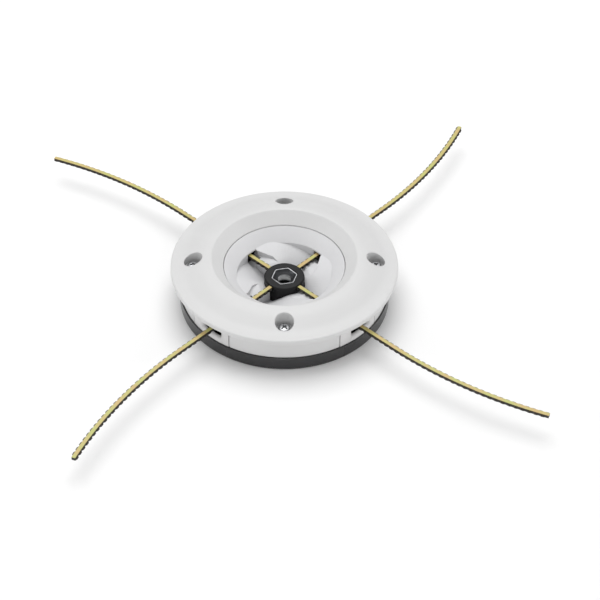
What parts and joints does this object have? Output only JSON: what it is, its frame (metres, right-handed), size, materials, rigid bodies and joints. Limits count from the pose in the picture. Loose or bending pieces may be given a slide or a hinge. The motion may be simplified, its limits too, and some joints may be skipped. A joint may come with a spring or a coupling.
{
  "type": "fixed line trimmer head",
  "caption": "Brushcutter head with a white brimmed cover, a funnel with a swirl floor round a threaded hub, and serrated cutting lines held fast in side eyelets.",
  "frame": {"origin": "on the turning axis, at the flat underside that the head rests on", "axes": "+Z along the turning axis towards the funnel; the cover screws stand on +X, +Y, -X and -Y and the lines leave between them"},
  "size_m": [0.338, 0.338, 0.0375],
  "materials": {
    "base": "fine moulded texture, dark charcoal",
    "cover": "satin moulded white",
    "bowl": "satin moulded white",
    "eyelet": "satin moulded white",
    "hub": "satin moulded black",
    "line": "drawn nylon, straw gold with dark cut edges",
    "nut": "bright zinc",
    "washer": "turned steel",
    "grip": "milled steel",
    "screw": "bright plated"
  },
  "bodies": {
    "root": {"base": "base", "cover": "cover", "inner_bowl": "bowl", "hub": "hub", "nut": "nut", "thrust_washer": "washer", "eyelet_1": "eyelet", "eyelet_2": "eyelet", "eyelet_3": "eyelet", "eyelet_4": "eyelet", "line_1": "line", "line_2": "line", "line_3": "line", "line_4": "line", "grip_plate_1": "grip", "grip_plate_2": "grip", "grip_plate_3": "grip", "grip_plate_4": "grip", "screw_1": "screw", "screw_2": "screw", "screw_3": "screw", "screw_4": "screw"}
  },
  "joints": []
}
